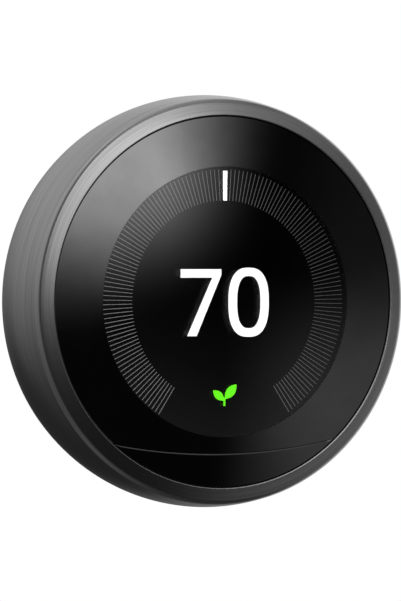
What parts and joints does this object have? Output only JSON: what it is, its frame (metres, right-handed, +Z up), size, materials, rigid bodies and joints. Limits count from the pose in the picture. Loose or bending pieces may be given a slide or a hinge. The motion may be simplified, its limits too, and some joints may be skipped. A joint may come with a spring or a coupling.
{
  "type": "wall thermostat",
  "caption": "Round wall thermostat: a domed dark glass face in a brushed metal ring that turns, on a head that clicks in and pulls off a round wiring base.",
  "frame": {"origin": "on the wall plane, at the centre of the wire opening, which is also midway between the two wall screws and on the axis of the turning ring", "axes": "+Y into the wall, -Y out of the face towards the user, +Z up, +X to the user's right"},
  "size_m": [0.084, 0.0308, 0.084],
  "materials": {
    "base_plastic": "fine-grained moulded plastic",
    "cover_plastic": "satin moulded plastic",
    "circuit_board": "solder mask",
    "chip_plastic": "moulded",
    "terminal_plastic": "moulded",
    "contact_brass": "stamped",
    "spring_steel": "rolled",
    "socket_plastic": "moulded",
    "vial_clear": "clear",
    "vial_fluid": "clear",
    "screw_steel": "zinc plated",
    "rear_plastic": "fine-grained moulded plastic",
    "stud_steel": "turned",
    "shield_metal": "stamped tinplate",
    "battery_foil": "laminated foil",
    "lead_insulation": "soft",
    "port_steel": "plated",
    "switch_plastic": "moulded",
    "flex_film": "polyimide film",
    "chassis_plastic": "moulded",
    "glide_plastic": "acetal",
    "frame_plastic": "moulded",
    "backlight_acrylic": "milky acrylic",
    "display_glass": "polished",
    "lens_glass": "polished, dark",
    "window_plastic": "polished, dark",
    "mask_ink": "printed film",
    "adhesive_foam": "foam tape",
    "fresnel_plastic": "milky, ridged",
    "sensor_can": "nickel plated",
    "ring_metal": "circular brushing under a dark coating",
    "encoder_plastic": "moulded",
    "plunger_plastic": "moulded",
    "tab_plastic": "moulded, ribbed"
  },
  "bodies": {
    "base": {"base_plate": "base_plastic", "base_rim": "cover_plastic", "base_cover": "cover_plastic", "base_board": "circuit_board", "base_chips": "chip_plastic", "terminal_block_left": "terminal_plastic", "terminal_block_right": "terminal_plastic", "terminal_contacts": "contact_brass", "tab_springs": "spring_steel", "base_socket": "socket_plastic", "level_vial": "vial_clear", "level_fluid": "vial_fluid", "base_screws": "screw_steel", "latch_springs": "spring_steel"},
    "head_rear": {"rear_cover": "rear_plastic", "latch_studs": "stud_steel", "main_board": "circuit_board", "main_chips": "chip_plastic", "shield_can": "shield_metal", "battery": "battery_foil", "battery_lead": "lead_insulation", "board_connectors": "socket_plastic", "usb_port": "port_steel", "head_plug": "socket_plastic", "click_switch": "switch_plastic", "board_screws": "screw_steel", "guide_screws": "screw_steel", "return_springs": "spring_steel", "display_flex": "flex_film"},
    "head_front": {"front_chassis": "chassis_plastic", "glide_ring": "glide_plastic", "retaining_ring": "spring_steel", "ring_sensor": "chip_plastic", "ring_sensor_flex": "flex_film", "flex_socket": "socket_plastic", "display_frame": "frame_plastic", "backlight": "backlight_acrylic", "display_panel": "display_glass", "face_lens": "lens_glass", "sensor_window": "window_plastic", "mask_film": "mask_ink", "lens_adhesive": "adhesive_foam", "fresnel_lens": "fresnel_plastic", "sensor_board": "circuit_board", "motion_sensors": "sensor_can", "proximity_sensor": "chip_plastic"},
    "turning_ring": {"outer_ring": "ring_metal", "ring_carrier": "chassis_plastic", "encoder_band": "encoder_plastic"},
    "plunger": {"switch_plunger": "plunger_plastic"},
    "tab_left_1": {"terminal_tab_left_1": "tab_plastic"},
    "tab_left_2": {"terminal_tab_left_2": "tab_plastic"},
    "tab_left_3": {"terminal_tab_left_3": "tab_plastic"},
    "tab_left_4": {"terminal_tab_left_4": "tab_plastic"},
    "tab_left_5": {"terminal_tab_left_5": "tab_plastic"},
    "tab_right_1": {"terminal_tab_right_1": "tab_plastic"},
    "tab_right_2": {"terminal_tab_right_2": "tab_plastic"},
    "tab_right_3": {"terminal_tab_right_3": "tab_plastic"},
    "tab_right_4": {"terminal_tab_right_4": "tab_plastic"},
    "tab_right_5": {"terminal_tab_right_5": "tab_plastic"}
  },
  "joints": [
    {"name": "head_release", "type": "slide", "parent": "base", "child": "head_rear", "axis": [0, -1, 0], "range_m": [0, 0.03], "deforming": ["latch_springs"]},
    {"name": "face_press", "type": "slide", "parent": "head_rear", "child": "head_front", "axis": [0, 1, 0], "range_m": [0, 0.0008], "stiffness_N_per_m": 2500, "springref_m": -0.0006, "deforming": ["return_springs", "display_flex"]},
    {"name": "ring_turn", "type": "hinge", "parent": "head_front", "child": "turning_ring", "pos_m": [0, 0, 0], "axis": [0, -1, 0], "continuous": true},
    {"name": "switch_press", "type": "slide", "parent": "head_rear", "child": "plunger", "axis": [0, 1, 0], "range_m": [0, 0.0008]},
    {"name": "tab_left_1_press", "type": "slide", "parent": "base", "child": "tab_left_1", "axis": [0, 1, 0], "range_m": [0, 0.001], "stiffness_N_per_m": 800, "springref_m": -0.0005, "deforming": ["tab_springs"]},
    {"name": "tab_left_2_press", "type": "slide", "parent": "base", "child": "tab_left_2", "axis": [0, 1, 0], "range_m": [0, 0.001], "stiffness_N_per_m": 800, "springref_m": -0.0005, "deforming": ["tab_springs"]},
    {"name": "tab_left_3_press", "type": "slide", "parent": "base", "child": "tab_left_3", "axis": [0, 1, 0], "range_m": [0, 0.001], "stiffness_N_per_m": 800, "springref_m": -0.0005, "deforming": ["tab_springs"]},
    {"name": "tab_left_4_press", "type": "slide", "parent": "base", "child": "tab_left_4", "axis": [0, 1, 0], "range_m": [0, 0.001], "stiffness_N_per_m": 800, "springref_m": -0.0005, "deforming": ["tab_springs"]},
    {"name": "tab_left_5_press", "type": "slide", "parent": "base", "child": "tab_left_5", "axis": [0, 1, 0], "range_m": [0, 0.001], "stiffness_N_per_m": 800, "springref_m": -0.0005, "deforming": ["tab_springs"]},
    {"name": "tab_right_1_press", "type": "slide", "parent": "base", "child": "tab_right_1", "axis": [0, 1, 0], "range_m": [0, 0.001], "stiffness_N_per_m": 800, "springref_m": -0.0005, "deforming": ["tab_springs"]},
    {"name": "tab_right_2_press", "type": "slide", "parent": "base", "child": "tab_right_2", "axis": [0, 1, 0], "range_m": [0, 0.001], "stiffness_N_per_m": 800, "springref_m": -0.0005, "deforming": ["tab_springs"]},
    {"name": "tab_right_3_press", "type": "slide", "parent": "base", "child": "tab_right_3", "axis": [0, 1, 0], "range_m": [0, 0.001], "stiffness_N_per_m": 800, "springref_m": -0.0005, "deforming": ["tab_springs"]},
    {"name": "tab_right_4_press", "type": "slide", "parent": "base", "child": "tab_right_4", "axis": [0, 1, 0], "range_m": [0, 0.001], "stiffness_N_per_m": 800, "springref_m": -0.0005, "deforming": ["tab_springs"]},
    {"name": "tab_right_5_press", "type": "slide", "parent": "base", "child": "tab_right_5", "axis": [0, 1, 0], "range_m": [0, 0.001], "stiffness_N_per_m": 800, "springref_m": -0.0005, "deforming": ["tab_springs"]}
  ],
  "couplings": [
    {"joint": "switch_press", "follows": "face_press", "ratio": 1}
  ]
}
